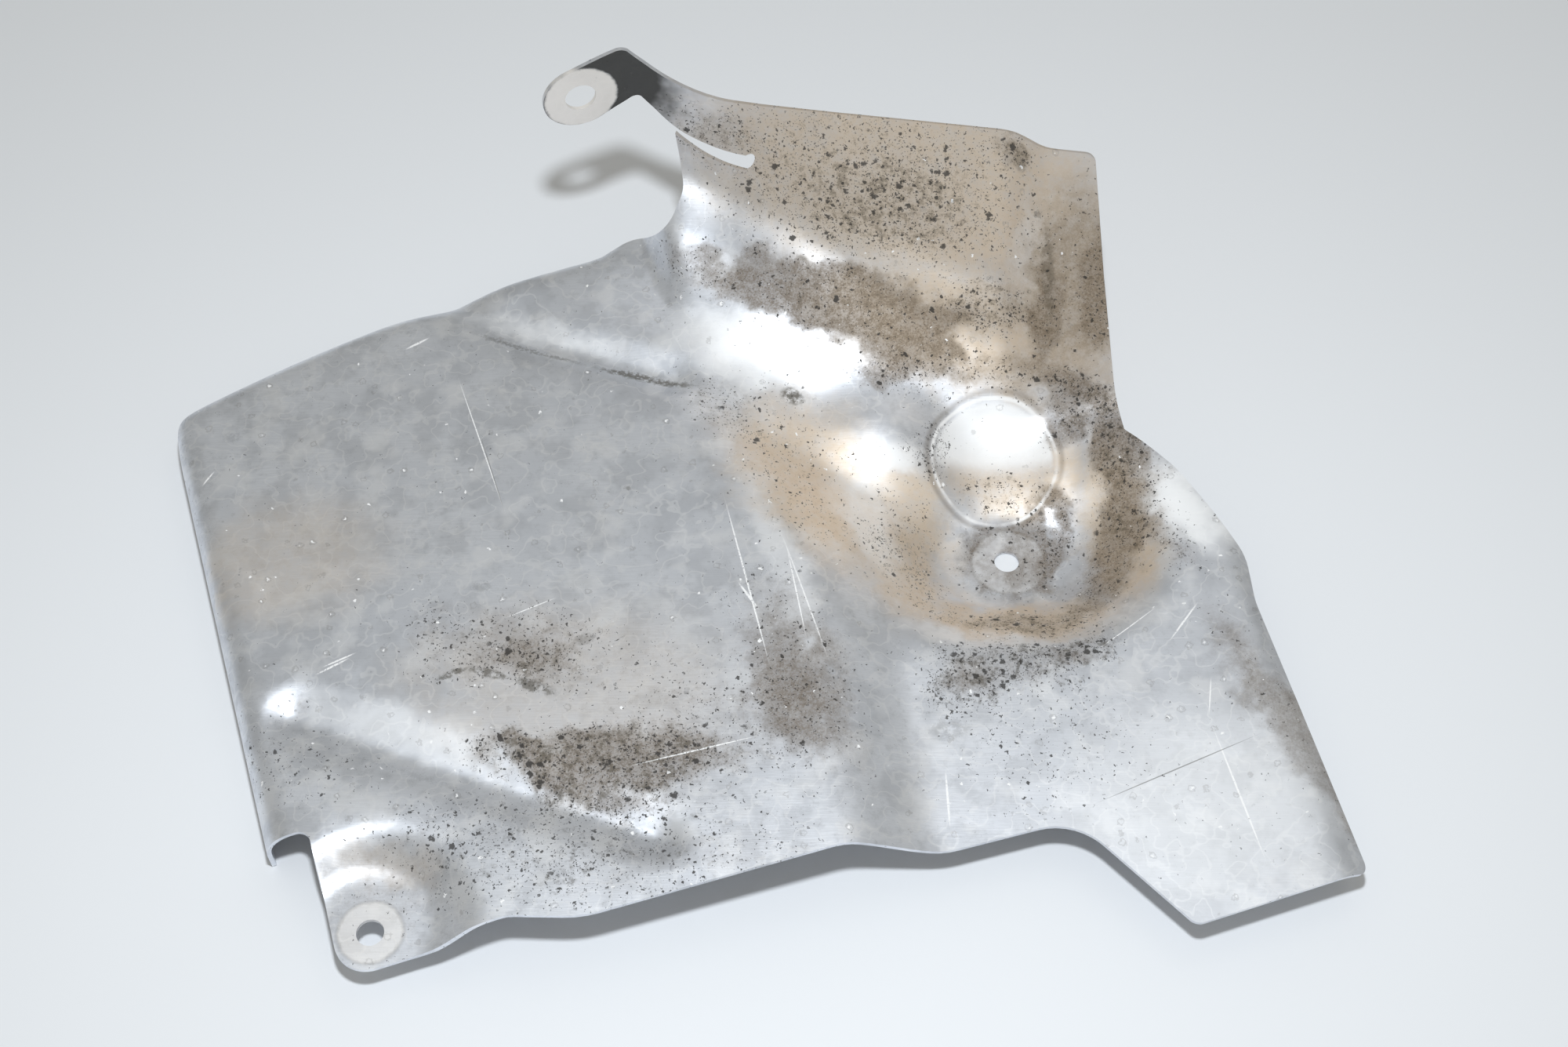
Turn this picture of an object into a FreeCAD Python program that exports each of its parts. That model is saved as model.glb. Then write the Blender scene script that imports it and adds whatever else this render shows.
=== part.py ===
import FreeCAD, Part
import math
import os

# One pressed aluminium heat shield, lying on a table as it comes to rest.
# The origin is the centre of the dish's bolt hole, on the face that seats; +Z is up.
# A point of the flat blank has the coordinates (u, v), which are x and y wherever the sheet lies flat.

SIZES = (
    # sheet and drilling
    ("sheet_thick", 1.2, "thickness of the sheet"),
    ("bolt_hole", 7.0, "diameter of the holes in the dish and in the front pad"),
    ("lug_hole", 9.0, "diameter of the hole in the lug"),
    ("net_pitch", 3.0, "spacing of the points that carry the skin"),
    # left plate, with the flanges along its left and far sides
    ("left_turn", 18.5, "lean of the left bend line from the Y axis, degrees"),
    ("left_reach", 206.8, "from the dish hole to the left bend line"),
    ("left_high", 17.0, "height of the plate's skin along the left bend line"),
    ("plate_rise", 0.04, "rise of the left plate for each millimetre from that line"),
    ("left_front", 26.6, "front end of the left flange, along its bend line"),
    ("far_turn", 24.5, "direction of the far bend, degrees from the Y axis"),
    ("far_reach", 135.1, "from the dish hole to the far bend, square to it"),
    ("far_mid", 127.5, "from the dish hole to the crown of the far bend, along it"),
    ("far_round", 438.5, "radius of the far bend in plan"),
    ("corner_round", 2.0, "rounding in plan of the corner between the two bends"),
    ("corner_square", 6.0, "how square that corner is; 2 would make it a quarter circle"),
    ("corner_edge", 17.0, "radius of the corner in the flanges' free edge"),
    ("flange_bend", 8.5, "radius of the flange bends"),
    ("far_short", 3.0, "how much shorter the far flange is than the left one"),
    ("far_start", -122.0, "where the far flange starts to fade, x"),
    ("far_fade", 16.0, "length in which the far flange fades"),
    # right plate, one step lower
    ("step_mid", -36.0, "middle of the step at the front edge, x"),
    ("step_front", -97.0, "front edge at the step, y"),
    ("step_lean", 0.12, "lean of the step to the left for each millimetre of depth"),
    ("step_wide", 30.0, "width of the step between the plates"),
    ("right_high", 14.0, "height of the right plate's skin at its front"),
    ("right_front", -90.0, "where that height holds, y"),
    ("right_rise", 0.035, "rise of the right plate for each millimetre of depth"),
    ("lip_x", 58.5, "far end of the right lip's bend line, x"),
    ("lip_y", -14.0, "far end of the right lip's bend line, y"),
    ("lip_turn", 11.6, "lean of the right lip's bend line from the Y axis, degrees"),
    ("lip_bend", 12.0, "radius of the right lip's bend"),
    ("lip_angle", 32.0, "how far the right lip is turned down, degrees"),
    # dish with its bolt seat, trough and dimple
    ("seat_length", 13.0, "straight length of the seat's stadium outline"),
    ("seat_shift", 0.5, "middle of the seat from the bolt hole, x"),
    ("seat_round", 12.0, "end radius of the seat"),
    ("dish_wall", 0.66, "slope of the dish's wall"),
    ("dish_foot", 2.0, "softness of the wall's foot"),
    ("trough_high", 4.6, "height of the trough's floor behind the seat"),
    ("trough_start", 13.0, "where the trough's floor starts, y"),
    ("trough_up", 0.15, "rise of that floor for each millimetre of depth"),
    ("trough_left", 0.17, "rise of that floor towards the left"),
    ("trough_right", 0.22, "rise of that floor towards the right"),
    ("trough_flat", 22.0, "width of the part of that floor that does not rise"),
    ("trough_ease", 8.0, "softness of the start of those rises"),
    ("trough_x", 6.0, "right end of the trough's line, x"),
    ("trough_y", 30.0, "right end of the trough's line, y"),
    ("trough_length", 50.0, "length of the trough's line"),
    ("trough_turn", 24.0, "turn of the trough's line from the X axis, degrees"),
    ("trough_round", 14.0, "half width of the trough's floor"),
    ("gully_x", -14.0, "right end of the gully's line, x"),
    ("gully_y", 15.0, "right end of the gully's line, y"),
    ("gully_length", 66.0, "length of the gully's line"),
    ("gully_turn", 30.0, "turn of the gully's line from the X axis, degrees"),
    ("gully_round", 11.0, "half width of the gully's floor"),
    ("trough_wall", 0.55, "slope of the trough's wall"),
    ("trough_foot", 3.0, "softness of the trough's foot"),
    ("dish_soft", 3.5, "rounding of the dish's rim"),
    ("trough_soft", 9.0, "rounding of the trough's rim and of its run-out into the plate"),
    ("dimple_x", -2.5, "middle of the dimple, x"),
    ("dimple_y", 30.3, "middle of the dimple, y"),
    ("dimple_round", 18.0, "radius of the dimple"),
    ("dimple_deep", 3.0, "depth of the dimple"),
    # front pad, placed from the left bend line and the end of its flange
    ("pad_in", 12.2, "bolt hole of the front pad from the left bend line"),
    ("pad_out", 31.4, "the same hole beyond the end of the left flange"),
    ("pad_drop", 5.8, "how far the pad is pressed below the plate at that line"),
    ("pad_round", 15.8, "radius of the pad's flat"),
    ("pad_wall", 0.85, "slope of the pad's wall"),
    ("pad_soft", 2.0, "rounding of the pad's wall"),
    # stiffening grooves
    ("groove_soft", 1.6, "rounding of the grooves' edges"),
    ("groove_tip", 1.0, "rounding of the grooves' bottoms"),
    ("groove_run", 14.0, "length of the grooves' run-outs"),
    ("far_groove_x", -82.0, "inner end of the far groove, x"),
    ("far_groove_y", 45.5, "inner end of the far groove, y"),
    ("far_groove_turn", 20.9, "turn of the far groove from the X axis, degrees"),
    ("far_groove_long", 122.0, "length of the far groove"),
    ("far_groove_deep", 3.8, "depth of the far groove"),
    ("far_groove_half", 6.5, "half width of the far groove at its inner end"),
    ("far_groove_flare", 0.045, "growth of that half width for each millimetre"),
    ("far_groove_sweep", 6.0, "how far the mouth of the far groove is swept aside"),
    ("far_groove_mouth", 22.0, "length of that mouth inside the far bend"),
    ("front_groove_x", -82.0, "inner end of the front groove, x"),
    ("front_groove_y", -99.0, "inner end of the front groove, y"),
    ("front_groove_turn", 20.3, "turn of the front groove from the X axis, degrees"),
    ("front_groove_long", 131.0, "length of the front groove"),
    ("front_groove_deep", 3.4, "depth of the front groove"),
    ("front_groove_half", 6.5, "half width of the front groove at its inner end"),
    ("front_groove_flare", 0.02, "growth of that half width for each millimetre"),
    # wing, strap and lug
    ("wing_back", 91.0, "top edge of the wing behind the dish hole, y at x = 0"),
    ("wing_turn", 0.2, "how far the top edge runs back for each millimetre to the left"),
    ("wing_high", 79.4, "height of the wing's top edge at x = 0"),
    ("wing_fall", 0.06, "fall of the top edge for each millimetre to the left"),
    ("wing_lean", 64.0, "slope of the wing's face, degrees"),
    ("lean_start", -41.0, "where the face starts to turn upright, x"),
    ("wing_length", 86.0, "length of the blank from the wing's foot to its top edge"),
    ("foot_y", 40.0, "foot of the wing behind the dish, y"),
    ("foot_start", -45.0, "where the foot starts to run back, x"),
    ("foot_rise", 56.0, "how far the foot runs back"),
    ("foot_run", 51.0, "in what length"),
    ("foot_gap", 30.0, "gap between the far bend and the blank of the lug"),
    ("ruled_length", 36.0, "straight length of the face below the top edge"),
    ("even_foot", 0.95, "how strongly the curve above the foot keeps the slope of the plate"),
    ("even_face", 0.95, "how strongly that curve keeps the slope of the face"),
    ("full_start", 0.0, "where that curve starts to grow fuller, x"),
    ("full_run", 80.0, "in what length it does"),
    ("full_ruled", 14.0, "how much shorter the straight length then is"),
    ("full_foot", 0.75, "how strongly the fuller curve keeps the slope of the plate"),
    ("full_face", 0.8, "how strongly the fuller curve keeps the slope of the face"),
    ("foot_fade", 34.0, "length in which the plate fades into the curve"),
    ("lead_x", -44.0, "right end of the line where the sheet starts to curve up, x"),
    ("lead_y", 37.0, "right end of that line, y"),
    ("lead_slope", 0.45, "how far that line runs back for each millimetre to the left"),
    ("lead_soft", 20.0, "rounding where that line meets the wing's foot"),
    ("lead_end", -116.0, "left end of that line, x"),
    ("lead_run", 24.0, "length in which that line runs back to the wing's foot there"),
    ("lead_lift", 0.02, "how much the sheet is lifted there for each millimetre to the left"),
    ("knuckle_x", -34.0, "middle of the knuckle beside the dimple, x"),
    ("knuckle_y", 37.5, "middle of the knuckle beside the dimple, y"),
    ("knuckle_round", 23.0, "radius of the knuckle"),
    ("knuckle_high", 4.6, "height of the knuckle"),
    ("joggle_x", 4.0, "middle of the joggle near the wing's right edge, x"),
    ("joggle_wide", 11.0, "width of the joggle"),
    ("joggle_deep", 5.5, "depth of the joggle"),
    ("ledge_deep", 0.55, "height of the ledges pressed across the lower part of the wing"),
    ("ledge_pitch", 0.4, "distance between the ledges, as a share of the curve above the foot"),
    ("ledge_first", 0.4, "first ledge, as a share of that curve"),
    ("ledge_from", 0.4, "where the ledges start to fade in, as a share of that curve"),
    ("ledge_slip", 0.35, "how far lower the ledges run at the right, as a share of that curve"),
    ("ledge_ease", 0.3, "in what share of that curve they fade"),
    ("strap_start", -75.0, "where the strap starts to climb, x"),
    ("strap_length", 33.0, "length of the strap up to the lug's fold"),
    ("strap_climb", 17.8, "climb of the strap up to the fold"),
    ("strap_wide", 17.2, "width of the strap"),
    ("strap_neck", 4.2, "how much narrower the strap is at the fold"),
    ("strap_short", 28.0, "how much shorter the blank is behind the strap"),
    ("fold_round", 4.0, "radius of the lug's fold"),
    ("lug_turn", 0.36, "how far the lug comes forward for each millimetre to the left"),
    ("lug_out", 12.4, "lug hole from the fold"),
    ("lug_down", 15.3, "lug hole below the top edge at the fold"),
    ("lug_round", 10.3, "end radius of the lug"),
    ("lug_low", 17.9, "inner corner of the fold below the top edge"),
    ("lug_corner", 3.0, "radius of the corners at the fold"),
    ("slot_end", -71.4, "blind end of the slot under the strap, x"),
    ("slot_wide", 5.3, "width of the slot"),
    ("slot_tip", 2.4, "width of the slot at its open end"),
    # trimmed edges
    ("notch_in", 3.6, "corner of the notch inside the left bend line"),
    ("notch_out", 1.6, "corner of the notch beyond the end of the left flange"),
    ("notch_round", 3.5, "radius of that corner"),
    ("pad_edge", 9.6, "edges of the pad from its bolt hole"),
    ("pad_corner", 8.5, "radius of the pad's corner"),
    ("pad_turn", 19.0, "turn of the pad's front edge, degrees"),
    ("brow_x", 34.5, "bend of the front edge beside the pad, from the pad's hole, x"),
    ("brow_y", 1.4, "bend of the front edge beside the pad, from the pad's hole, y"),
    ("brow_round", 12.0, "radius of that bend"),
    ("front_left_x", -113.0, "end of the straight left part of the front edge, x"),
    ("front_left_y", -116.0, "end of the straight left part of the front edge, y"),
    ("front_high_x", -47.0, "front edge at the left end of the step, x"),
    ("front_high_y", -96.9, "front edge at the left end of the step, y"),
    ("front_low_x", -22.0, "front edge at the right end of the step, x"),
    ("front_low_y", -96.0, "front edge at the right end of the step, y"),
    ("front_round", 30.0, "radius of the bends along the front edge"),
    ("gap_x", 11.5, "top of the cut-out in the front edge, x"),
    ("gap_y", -86.9, "top of the cut-out in the front edge, y"),
    ("gap_round", 17.0, "radius of the cut-out"),
    ("ear_x", 39.8, "front corner of the right plate, x"),
    ("ear_y", -115.4, "front corner of the right plate, y"),
    ("ear_long", 49.0, "front edge of the right plate"),
    ("ear_turn", 18.2, "turn of that edge, degrees"),
    ("ear_round", 3.5, "radius of the right plate's corners"),
    ("waist_x", 65.4, "waist of the right edge, x"),
    ("waist_y", -22.0, "waist of the right edge, y"),
    ("waist_round", 20.0, "radius of the waist"),
    ("hip_x", 65.0, "hip of the right edge, x"),
    ("hip_y", -6.8, "hip of the right edge, y"),
    ("hip_round", 14.0, "radius of the hip"),
    ("rim_x", 47.6, "bend of the right edge beside the dish, x"),
    ("rim_y", 20.6, "bend of the right edge beside the dish, y"),
    ("rim_round", 30.0, "radius of that bend"),
    ("tear_x", 34.4, "inner corner between dish and wing, x"),
    ("tear_y", 35.5, "inner corner between dish and wing, y"),
    ("tear_round", 1.5, "radius of that corner"),
    ("wing_right", 22.0, "right edge of the wing at its top, x"),
    ("wing_corner", 3.0, "radius of the wing's top corner"),
    ("horn_long", 19.4, "horn's tip from where the strap starts to climb"),
    ("neck_x", -92.2, "narrowest place of the horn, x"),
    ("neck_y", 113.5, "narrowest place of the horn, v"),
    ("neck_round", 12.0, "radius of the horn's neck"),
    ("bay_x", -97.0, "corner of the bay beside the horn, x"),
    ("bay_y", 103.0, "corner of the bay beside the horn, v"),
    ("bay_round", 7.0, "radius of that corner"),
    ("flange_long", 55.5, "narrowing part of the far flange"),
)

doc = FreeCAD.newDocument("heat_shield")
sizes = doc.addObject("Spreadsheet::Sheet", "Sizes")
for row, (alias, value, meaning) in enumerate(SIZES, start=1):
    sizes.set(f"A{row}", meaning)
    sizes.set(f"B{row}", str(value))
    sizes.setAlias(f"B{row}", alias)
doc.recompute()


class Size:
    """The sheet's values by name; angles stay in degrees."""


for alias, value, meaning in SIZES:
    setattr(Size, alias, float(sizes.get(alias)))


# Small tools

def ramp(t):
    """Smooth step from 0 to 1."""
    t = min(max(t, 0.0), 1.0)
    return t * t * (3.0 - 2.0 * t)


def soft_min(a, b, k):
    """The lower of two heights, with a rounding of size k where they meet."""
    h = max(k - abs(a - b), 0.0) / k
    return min(a, b) - h * h * k / 4.0


def wall(gap, slope, softness):
    """A wall that rises with the given slope past its foot."""
    gap = max(gap, 0.0)
    return slope * (math.hypot(gap, softness) - softness)


def hinge(t, softness):
    """Nothing below zero and t above it, with an eased start."""
    return (math.hypot(t, softness) + t) / 2.0


def turned(degrees):
    return math.cos(math.radians(degrees)), math.sin(math.radians(degrees))


def bend(length, radius, angle):
    """Reach and drop of a strip bent round a radius by an angle, then straight."""
    turn = min(max(length, 0.0) / radius, angle)
    rest = max(length - radius * angle, 0.0)
    reach = radius * math.sin(turn) + rest * math.cos(angle)
    drop = radius * (1.0 - math.cos(turn)) + rest * math.sin(angle)
    return reach, drop


# Bend lines of the plate

LEFT_C, LEFT_S = turned(Size.left_turn)
FAR_C, FAR_S = turned(Size.far_turn)
FAR_X = -FAR_S * (Size.far_reach - Size.far_round) - FAR_C * Size.far_mid
FAR_Y = FAR_C * (Size.far_reach - Size.far_round) - FAR_S * Size.far_mid
LIP_C, LIP_S = turned(Size.lip_turn)


def by_left_line(inside, along):
    """Blank point at a distance inside the left bend line and along it, towards the front."""
    out = Size.left_reach - inside
    return -LEFT_C * out + LEFT_S * along, -LEFT_S * out - LEFT_C * along


def past_left(u, v):
    return -u * LEFT_C - v * LEFT_S - Size.left_reach


def past_far(u, v):
    return math.hypot(u - FAR_X, v - FAR_Y) - Size.far_round


PAD_X, PAD_Y = by_left_line(Size.pad_in, Size.left_front + Size.pad_out)


# Pressed plate: the skin lies at the soft minimum of the plate and its punches

def groove(u, v, end_x, end_y, turn, length, deep, half, flare, sweep):
    """Punch of a V groove that runs out towards its inner end, as a depth below the plate."""
    c, s = turned(turn)
    along = -(u - end_x) * c + (v - end_y) * s
    across = (u - end_x) * s + (v - end_y) * c - sweep
    run = Size.groove_run
    half = half + flare * min(max(along, 0.0), length)
    share = ramp(along / run) * ramp((length - along) / run)
    tip = Size.groove_tip
    flank = (deep / half) * (math.hypot(across, tip) - tip)
    return flank - deep * share + Size.groove_soft * (1.0 - share)


def flat_height(u, v):
    """Left plate, and the right plate one step lower."""
    left = Size.left_high - Size.plate_rise * past_left(u, v)
    right = Size.right_high + Size.right_rise * (v - Size.right_front)
    middle = Size.step_mid - Size.step_lean * (v - Size.step_front)
    return left + (right - left) * ramp((u - middle) / Size.step_wide + 0.5)


def floor_height(u, v):
    """Floor of the trough behind the bolt seat, rising to the back and to both sides."""
    middle = Size.dimple_x + Size.trough_ease / 2.0
    floor = Size.trough_high + Size.trough_up * (v - Size.trough_start)
    floor += Size.trough_left * hinge(middle - u - Size.trough_flat / 2.0, Size.trough_ease)
    return floor + Size.trough_right * hinge(u - middle - Size.trough_flat / 2.0, Size.trough_ease)


def valley_height(u, v):
    """Floor of the trough up to where it runs out into the plate, lifted towards the wing's left end."""
    lift = Size.lead_lift * hinge(Size.lead_x - u, Size.lead_soft)
    return soft_min(flat_height(u, v), floor_height(u, v), Size.trough_soft) + lift


def plate_height(u, v):
    flat = flat_height(u, v)
    mouth = ramp(past_far(u, v) / Size.far_groove_mouth + 1.0)
    z = soft_min(flat, flat + groove(
        u, v, Size.far_groove_x, Size.far_groove_y, Size.far_groove_turn,
        Size.far_groove_long, Size.far_groove_deep, Size.far_groove_half,
        Size.far_groove_flare, Size.far_groove_sweep * mouth), Size.groove_soft)
    z = soft_min(z, flat + groove(
        u, v, Size.front_groove_x, Size.front_groove_y, Size.front_groove_turn,
        Size.front_groove_long, Size.front_groove_deep, Size.front_groove_half,
        Size.front_groove_flare, 0.0), Size.groove_soft)
    z = soft_min(z, trough_height(u, v), Size.trough_soft)
    z = soft_min(z, seat_height(u, v), Size.dish_soft)
    pad = Size.left_high - Size.pad_drop
    pad += wall(math.hypot(u - PAD_X, v - PAD_Y) - Size.pad_round, Size.pad_wall, Size.pad_soft)
    return soft_min(z, pad, Size.pad_soft)


def seat_height(u, v):
    """Bolt seat with its sloping wall."""
    off = max(abs(u - Size.seat_shift) - Size.seat_length / 2.0, 0.0)
    return Size.sheet_thick + wall(math.hypot(off, v) - Size.seat_round, Size.dish_wall, Size.dish_foot)


def from_line(u, v, end_x, end_y, turn, length):
    """Distance from a line that runs from its right end towards the left and back."""
    c, s = turned(turn)
    along = min(max((end_x - u) * c + (v - end_y) * s, 0.0), length)
    return math.hypot(u - end_x + along * c, v - end_y - along * s)


def trough_height(u, v):
    """Trough behind the seat and the gully to its left: their floor, and a wall round their lines."""
    trough = from_line(u, v, Size.trough_x, Size.trough_y, Size.trough_turn, Size.trough_length)
    gully = from_line(u, v, Size.gully_x, Size.gully_y, Size.gully_turn, Size.gully_length)
    gap = soft_min(trough - Size.trough_round, gully - Size.gully_round, Size.trough_soft)
    return floor_height(u, v) + wall(gap, Size.trough_wall, Size.trough_foot)


def plate_point(u, v):
    """Plate with its left and far flanges and the right lip turned down."""
    z = plate_height(u, v)
    k = Size.corner_round
    left = max(past_left(u, v) + k, 0.0)
    far = max(past_far(u, v) + k, 0.0)
    power = Size.corner_square
    out = (left ** power + far ** power) ** (1.0 / power)
    x, y = u, v
    fade = 1.0 - ramp((u - Size.far_start) / Size.far_fade)
    if out > k:
        ray = math.hypot(u - FAR_X, v - FAR_Y)
        gx = (-LEFT_C * left + (u - FAR_X) / ray * far) / out
        gy = (-LEFT_S * left + (v - FAR_Y) / ray * far) / out
        reach, drop = bend(out - k, Size.flange_bend, math.pi / 2.0)
        x -= gx * (out - k - reach) * fade
        y -= gy * (out - k - reach) * fade
        z -= drop * fade
    lip = (u - Size.lip_x) * LIP_C + (v - Size.lip_y) * LIP_S
    if lip > 0.0:
        reach, drop = bend(lip, Size.lip_bend, math.radians(Size.lip_angle))
        x -= LIP_C * (lip - reach)
        y -= LIP_S * (lip - reach)
        z -= drop
    return FreeCAD.Vector(x, y, z)


# Wing: a tangent blend from its foot in the plate to a straight face below its top edge

FOLD_X = Size.strap_start - Size.strap_length


def foot_of(u):
    run = max(Size.foot_start - u, 0.0) / Size.foot_run
    foot = Size.foot_y + Size.foot_rise * run * run
    half = min(abs(u - FAR_X), Size.far_round)
    far = FAR_Y + math.sqrt(Size.far_round ** 2 - half ** 2) + Size.foot_gap
    return soft_min(foot, far, Size.foot_gap)


def top_of(u):
    """Blank coordinate v of the wing's top edge; the lug's top edge goes on level."""
    u = max(u, FOLD_X)
    shorter = Size.strap_short * ramp((Size.slot_end - u) / Size.strap_length)
    return foot_of(u) + Size.wing_length - shorter


def face_of(u):
    """Top edge of the wing as a point, and the slope of its face there."""
    past = hinge(FOLD_X - u, Size.fold_round)
    y = Size.wing_back - Size.wing_turn * u - (Size.lug_turn + Size.wing_turn) * past
    y -= Size.joggle_deep * ramp((u - Size.joggle_x) / Size.joggle_wide + 0.5)
    climb = min(max(Size.strap_start - u, 0.0) / Size.strap_length, 1.0)
    z = Size.wing_high + Size.wing_fall * max(u, FOLD_X) + Size.strap_climb * climb * climb
    upright = ramp((Size.lean_start - u) / (Size.lean_start - FOLD_X))
    lean = math.radians(Size.wing_lean + (90.0 - Size.wing_lean) * upright)
    return FreeCAD.Vector(u, y, z), FreeCAD.Vector(0.0, math.cos(lean), math.sin(lean))


def sheet_point(u, v):
    """Blank point to a point of the upper skin, with the dimple pressed in last."""
    point = formed_point(u, v)
    share = math.hypot(u - Size.knuckle_x, v - Size.knuckle_y) / Size.knuckle_round
    point.z += Size.knuckle_high * max(1.0 - share * share, 0.0) ** 2
    share = math.hypot(u - Size.dimple_x, v - Size.dimple_y) / Size.dimple_round
    point.z -= Size.dimple_deep * max(1.0 - share * share, 0.0)
    return point


def start_of(u):
    """Where the sheet starts to curve up to the wing: its foot, or in front of that towards the left."""
    foot = foot_of(u)
    line = Size.lead_y + Size.lead_slope * hinge(Size.lead_x - u, Size.lead_soft)
    share = ramp((u - Size.lead_end) / Size.lead_run)
    return foot + (soft_min(foot, line, 2.0 * Size.lead_soft) - foot) * share


def formed_point(u, v):
    """Plate, then a curve from the valley up to the face, then the face; the plate fades into the curve."""
    foot = start_of(u)
    if v <= foot:
        return plate_point(u, v)
    full = ramp((Size.full_start - u) / Size.full_run)
    ruled = Size.ruled_length - Size.full_ruled * full * ramp((u - Size.lead_end) / Size.lead_run)
    top, way = face_of(u)
    down = top_of(u) - v
    if down < ruled:
        return top - way * down
    low = valley_height(u, foot)
    start = FreeCAD.Vector(u, foot, low)
    slope = FreeCAD.Vector(0.0, 1.0, (low - valley_height(u, foot - Size.sheet_thick)) / Size.sheet_thick)
    end = top - way * ruled
    chord = (end - start).Length
    from_foot = chord * (Size.even_foot + (Size.full_foot - Size.even_foot) * full)
    to_face = chord * (Size.even_face + (Size.full_face - Size.even_face) * full)
    s = (v - foot) / (top_of(u) - ruled - foot)
    point = start * ((1.0 + 2.0 * s) * (1.0 - s) ** 2) + slope * (s * (1.0 - s) ** 2 * from_foot)
    point += end * (s * s * (3.0 - 2.0 * s)) + way * (s * s * (s - 1.0) * to_face)
    along = s + Size.ledge_slip * (1.0 - full)
    wave = math.sin(2.0 * math.pi * (along - Size.ledge_first) / Size.ledge_pitch)
    rise = Size.ledge_deep * wave * ramp((along - Size.ledge_from) / Size.ledge_ease)
    rise *= ramp((1.0 - s) / Size.ledge_ease) * ramp((Size.wing_right - u) / Size.joggle_wide)
    rise *= math.sqrt(0.5)
    point += FreeCAD.Vector(0.0, rise, -rise)
    fresh = ramp((v - foot) / Size.foot_fade)
    if fresh < 1.0:
        point = plate_point(u, v) * (1.0 - fresh) + point * fresh
    return point


def normal_at(u, v, near):
    across = sheet_point(u + near, v) - sheet_point(u - near, v)
    along = sheet_point(u, v + near) - sheet_point(u, v - near)
    return across.cross(along).normalize()


# Trimmed outline in the blank, front edge first and then round against the clock

flat = Part.Geom2d
Point = FreeCAD.Base.Vector2d
pieces = []


def straight(a, b):
    if math.hypot(b[0] - a[0], b[1] - a[1]) > 0.01:
        pieces.append(flat.Line2dSegment(Point(*a), Point(*b)))


def rounded(points):
    """Straight runs from the first point to the last, each corner (x, y, radius) rounded; gives the end."""
    here = points[0]
    for i in range(1, len(points) - 1):
        corner, after = points[i], points[i + 1]
        in_x, in_y = corner[0] - here[0], corner[1] - here[1]
        out_x, out_y = after[0] - corner[0], after[1] - corner[1]
        in_l, out_l = math.hypot(in_x, in_y), math.hypot(out_x, out_y)
        turn = math.atan2(in_x * out_y - in_y * out_x, in_x * out_x + in_y * out_y)
        half = math.tan(abs(turn) / 2.0)
        cut = min(corner[2] * half, in_l * 0.9, out_l * 0.45)
        if cut < 0.02:
            straight(here, corner)
            here = corner
            continue
        first = (corner[0] - in_x / in_l * cut, corner[1] - in_y / in_l * cut)
        last = (corner[0] + out_x / out_l * cut, corner[1] + out_y / out_l * cut)
        radius = cut / half
        sag = radius * (1.0 / math.cos(turn / 2.0) - 1.0)
        mid_x, mid_y = (first[0] + last[0]) / 2.0, (first[1] + last[1]) / 2.0
        far = math.hypot(mid_x - corner[0], mid_y - corner[1])
        crown = (corner[0] + (mid_x - corner[0]) / far * sag, corner[1] + (mid_y - corner[1]) / far * sag)
        straight(here, first)
        pieces.append(flat.ArcOfCircle2d(Point(*first), Point(*crown), Point(*last)))
        here = last
    straight(here, points[-1])
    return points[-1]


def curved(points):
    """Smooth curve through the points."""
    curve = flat.BSplineCurve2d()
    curve.interpolate(Points=[Point(*p) for p in points])
    pieces.append(curve)


def tangent_on(outside, centre, radius, side):
    """Where the tangent from an outside point touches a circle."""
    x, y = outside[0] - centre[0], outside[1] - centre[1]
    angle = math.atan2(y, x) + side * math.acos(min(radius / math.hypot(x, y), 1.0))
    return centre[0] + radius * math.cos(angle), centre[1] + radius * math.sin(angle)


def moved(start, degrees, length):
    c, s = turned(degrees)
    return start[0] + c * length, start[1] + s * length


flange = (Size.left_high + Size.flange_bend * (math.pi / 2.0 - 1.0)) / (1.0 + Size.plate_rise)
flange_front = by_left_line(-flange, Size.left_front)
notch = by_left_line(Size.notch_in, Size.left_front + Size.notch_out)
pad_side = moved((PAD_X, PAD_Y), 180.0 + Size.pad_turn, Size.pad_edge)
pad_toe = moved(pad_side, Size.pad_turn - 90.0, Size.pad_edge)
brow = (PAD_X + Size.brow_x, PAD_Y + Size.brow_y)
ear_front = (Size.ear_x, Size.ear_y)
ear_right = moved(ear_front, Size.ear_turn, Size.ear_long)
top_flat = top_of(Size.foot_start)
rounded((
    flange_front,
    notch + (Size.notch_round,),
    pad_toe + (Size.pad_corner,),
    brow + (Size.brow_round,),
    (Size.front_left_x, Size.front_left_y, Size.front_round),
    (Size.front_high_x, Size.front_high_y, Size.front_round),
    (Size.front_low_x, Size.front_low_y, Size.front_round),
    (Size.gap_x, Size.gap_y, Size.gap_round),
    ear_front + (Size.ear_round,),
    ear_right + (Size.ear_round,),
    (Size.waist_x, Size.waist_y, Size.waist_round),
    (Size.hip_x, Size.hip_y, Size.hip_round),
    (Size.rim_x, Size.rim_y, Size.rim_round),
    (Size.tear_x, Size.tear_y, Size.tear_round),
    (Size.wing_right, top_flat, Size.wing_corner),
    (Size.foot_start, top_flat),
))

# Top edge of the strap, then the lug and the strap's lower edge
strap_u = FOLD_X + Size.lug_corner
climb = [Size.foot_start + (strap_u - Size.foot_start) * i / 12.0 for i in range(13)]
curved([(u, top_of(u)) for u in climb])
top_end = (strap_u, top_of(strap_u))
rate = (top_of(strap_u + 0.1) - top_of(strap_u - 0.1)) / 0.2
fold_top = (strap_u + (top_of(FOLD_X) - top_end[1]) / rate, top_of(FOLD_X))
lug = (FOLD_X - Size.lug_out, top_of(FOLD_X) - Size.lug_down)


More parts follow.
